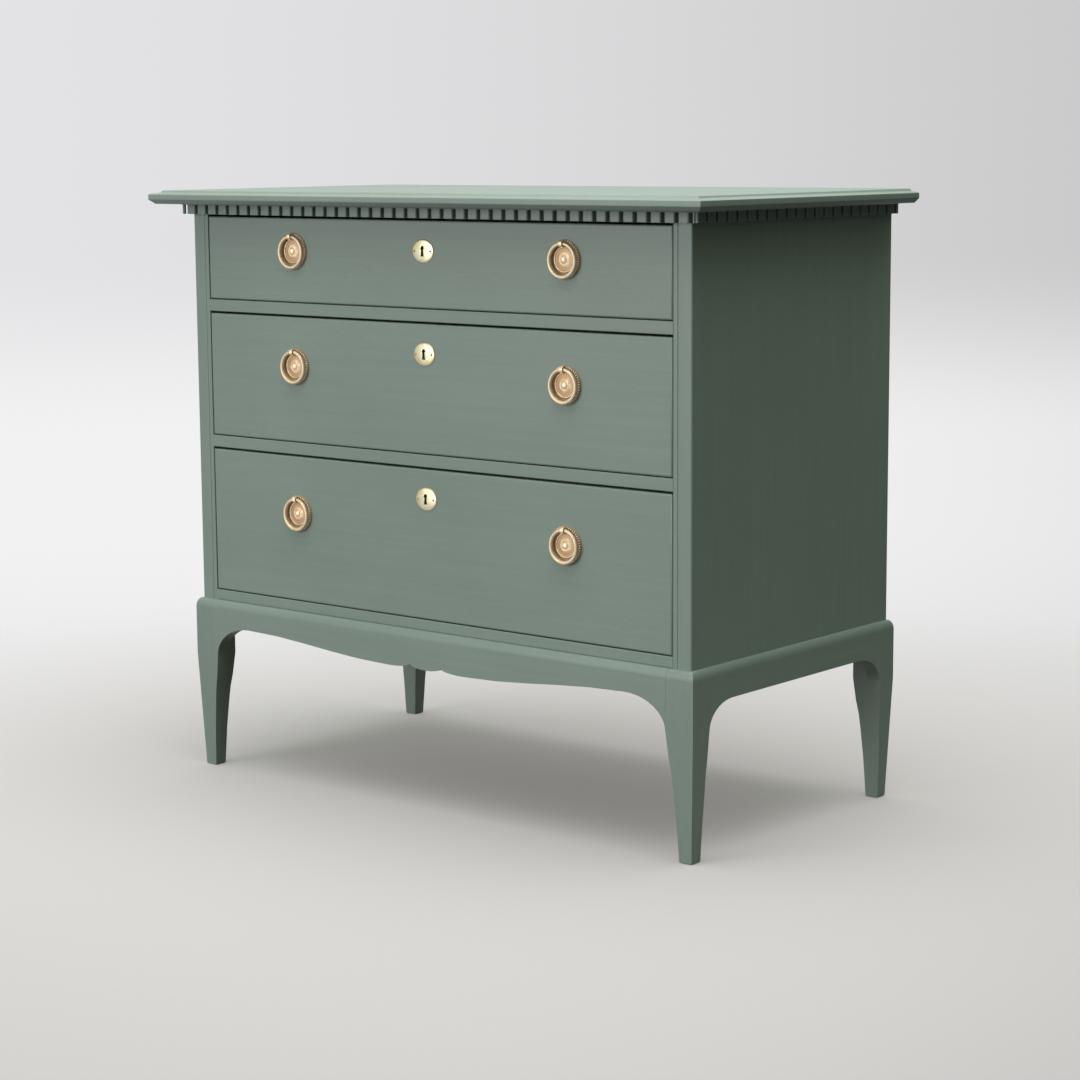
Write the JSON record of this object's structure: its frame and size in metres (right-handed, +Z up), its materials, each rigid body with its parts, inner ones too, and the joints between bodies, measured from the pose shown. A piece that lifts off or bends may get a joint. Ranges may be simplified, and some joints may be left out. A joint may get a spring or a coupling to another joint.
{
  "type": "chest of drawers",
  "caption": "Painted commode chest with drawers, ring pulls and escutcheons, a dentil moulding under a moulded top, a serpentine apron and tapered bracket legs.",
  "frame": {"origin": "on the floor, midway across the width and midway between the front nose of the top and the back of the base", "axes": "+X to the right as seen from the front, +Y to the back, +Z up; the drawers open towards -Y"},
  "size_m": [0.93, 0.4806, 0.8],
  "materials": {
    "painted_wood": "satin grey-green paint over wood",
    "bare_wood": "bare pine, waxed by use",
    "aged_brass": "cast brass, worn and pale",
    "bright_brass": "polished brass",
    "lock_steel": "dull iron"
  },
  "bodies": {
    "carcass": {"top_board": "painted_wood", "dentil_moulding_front": "painted_wood", "dentil_moulding_left": "painted_wood", "dentil_moulding_right": "painted_wood", "side_panel_left": "painted_wood", "side_panel_right": "painted_wood", "lining_left": "painted_wood", "lining_right": "painted_wood", "top_rail": "painted_wood", "upper_drawer_rail": "painted_wood", "lower_drawer_rail": "painted_wood", "bottom_rail": "painted_wood", "front_apron": "painted_wood", "left_apron": "painted_wood", "right_apron": "painted_wood", "back_apron": "painted_wood", "front_left_leg": "painted_wood", "front_right_leg": "painted_wood", "back_left_leg": "painted_wood", "back_right_leg": "painted_wood", "back_panel": "bare_wood", "upper_runner_board": "bare_wood", "lower_runner_board": "bare_wood", "bottom_board": "bare_wood"},
    "lower_drawer": {"lower_drawer_front": "painted_wood", "lower_drawer_side_left": "bare_wood", "lower_drawer_side_right": "bare_wood", "lower_drawer_back": "bare_wood", "lower_drawer_bottom": "bare_wood", "lower_pull_plate_left": "aged_brass", "lower_pull_plate_right": "aged_brass", "lower_escutcheon": "bright_brass", "lower_lock_case": "lock_steel"},
    "lower_ring_left": {"lower_pull_ring_left": "aged_brass"},
    "lower_ring_right": {"lower_pull_ring_right": "aged_brass"},
    "lower_bolt": {"lower_lock_bolt": "lock_steel"},
    "middle_drawer": {"middle_drawer_front": "painted_wood", "middle_drawer_side_left": "bare_wood", "middle_drawer_side_right": "bare_wood", "middle_drawer_back": "bare_wood", "middle_drawer_bottom": "bare_wood", "middle_pull_plate_left": "aged_brass", "middle_pull_plate_right": "aged_brass", "middle_escutcheon": "bright_brass", "middle_lock_case": "lock_steel"},
    "middle_ring_left": {"middle_pull_ring_left": "aged_brass"},
    "middle_ring_right": {"middle_pull_ring_right": "aged_brass"},
    "middle_bolt": {"middle_lock_bolt": "lock_steel"},
    "upper_drawer": {"upper_drawer_front": "painted_wood", "upper_drawer_side_left": "bare_wood", "upper_drawer_side_right": "bare_wood", "upper_drawer_back": "bare_wood", "upper_drawer_bottom": "bare_wood", "upper_pull_plate_left": "aged_brass", "upper_pull_plate_right": "aged_brass", "upper_escutcheon": "bright_brass", "upper_lock_case": "lock_steel"},
    "upper_ring_left": {"upper_pull_ring_left": "aged_brass"},
    "upper_ring_right": {"upper_pull_ring_right": "aged_brass"},
    "upper_bolt": {"upper_lock_bolt": "lock_steel"}
  },
  "joints": [
    {"name": "lower_drawer_slide", "type": "slide", "parent": "carcass", "child": "lower_drawer", "axis": [0, -1, 0], "range_m": [0, 0.3]},
    {"name": "lower_ring_left_hinge", "type": "hinge", "parent": "lower_drawer", "child": "lower_ring_left", "pos_m": [-0.231, -0.20345, 0.39118], "axis": [-1, 0, 0], "range_deg": [0, 150]},
    {"name": "lower_ring_right_hinge", "type": "hinge", "parent": "lower_drawer", "child": "lower_ring_right", "pos_m": [0.231, -0.20345, 0.39118], "axis": [-1, 0, 0], "range_deg": [0, 150]},
    {"name": "lower_bolt_slide", "type": "slide", "parent": "lower_drawer", "child": "lower_bolt", "axis": [0, 0, 1], "range_m": [0, 0.008]},
    {"name": "middle_drawer_slide", "type": "slide", "parent": "carcass", "child": "middle_drawer", "axis": [0, -1, 0], "range_m": [0, 0.3]},
    {"name": "middle_ring_left_hinge", "type": "hinge", "parent": "middle_drawer", "child": "middle_ring_left", "pos_m": [-0.231, -0.20345, 0.58852], "axis": [-1, 0, 0], "range_deg": [0, 150]},
    {"name": "middle_ring_right_hinge", "type": "hinge", "parent": "middle_drawer", "child": "middle_ring_right", "pos_m": [0.231, -0.20345, 0.58852], "axis": [-1, 0, 0], "range_deg": [0, 150]},
    {"name": "middle_bolt_slide", "type": "slide", "parent": "middle_drawer", "child": "middle_bolt", "axis": [0, 0, 1], "range_m": [0, 0.008]},
    {"name": "upper_drawer_slide", "type": "slide", "parent": "carcass", "child": "upper_drawer", "axis": [0, -1, 0], "range_m": [0, 0.3]},
    {"name": "upper_ring_left_hinge", "type": "hinge", "parent": "upper_drawer", "child": "upper_ring_left", "pos_m": [-0.231, -0.20345, 0.74072], "axis": [-1, 0, 0], "range_deg": [0, 150]},
    {"name": "upper_ring_right_hinge", "type": "hinge", "parent": "upper_drawer", "child": "upper_ring_right", "pos_m": [0.231, -0.20345, 0.74072], "axis": [-1, 0, 0], "range_deg": [0, 150]},
    {"name": "upper_bolt_slide", "type": "slide", "parent": "upper_drawer", "child": "upper_bolt", "axis": [0, 0, 1], "range_m": [0, 0.008]}
  ]
}
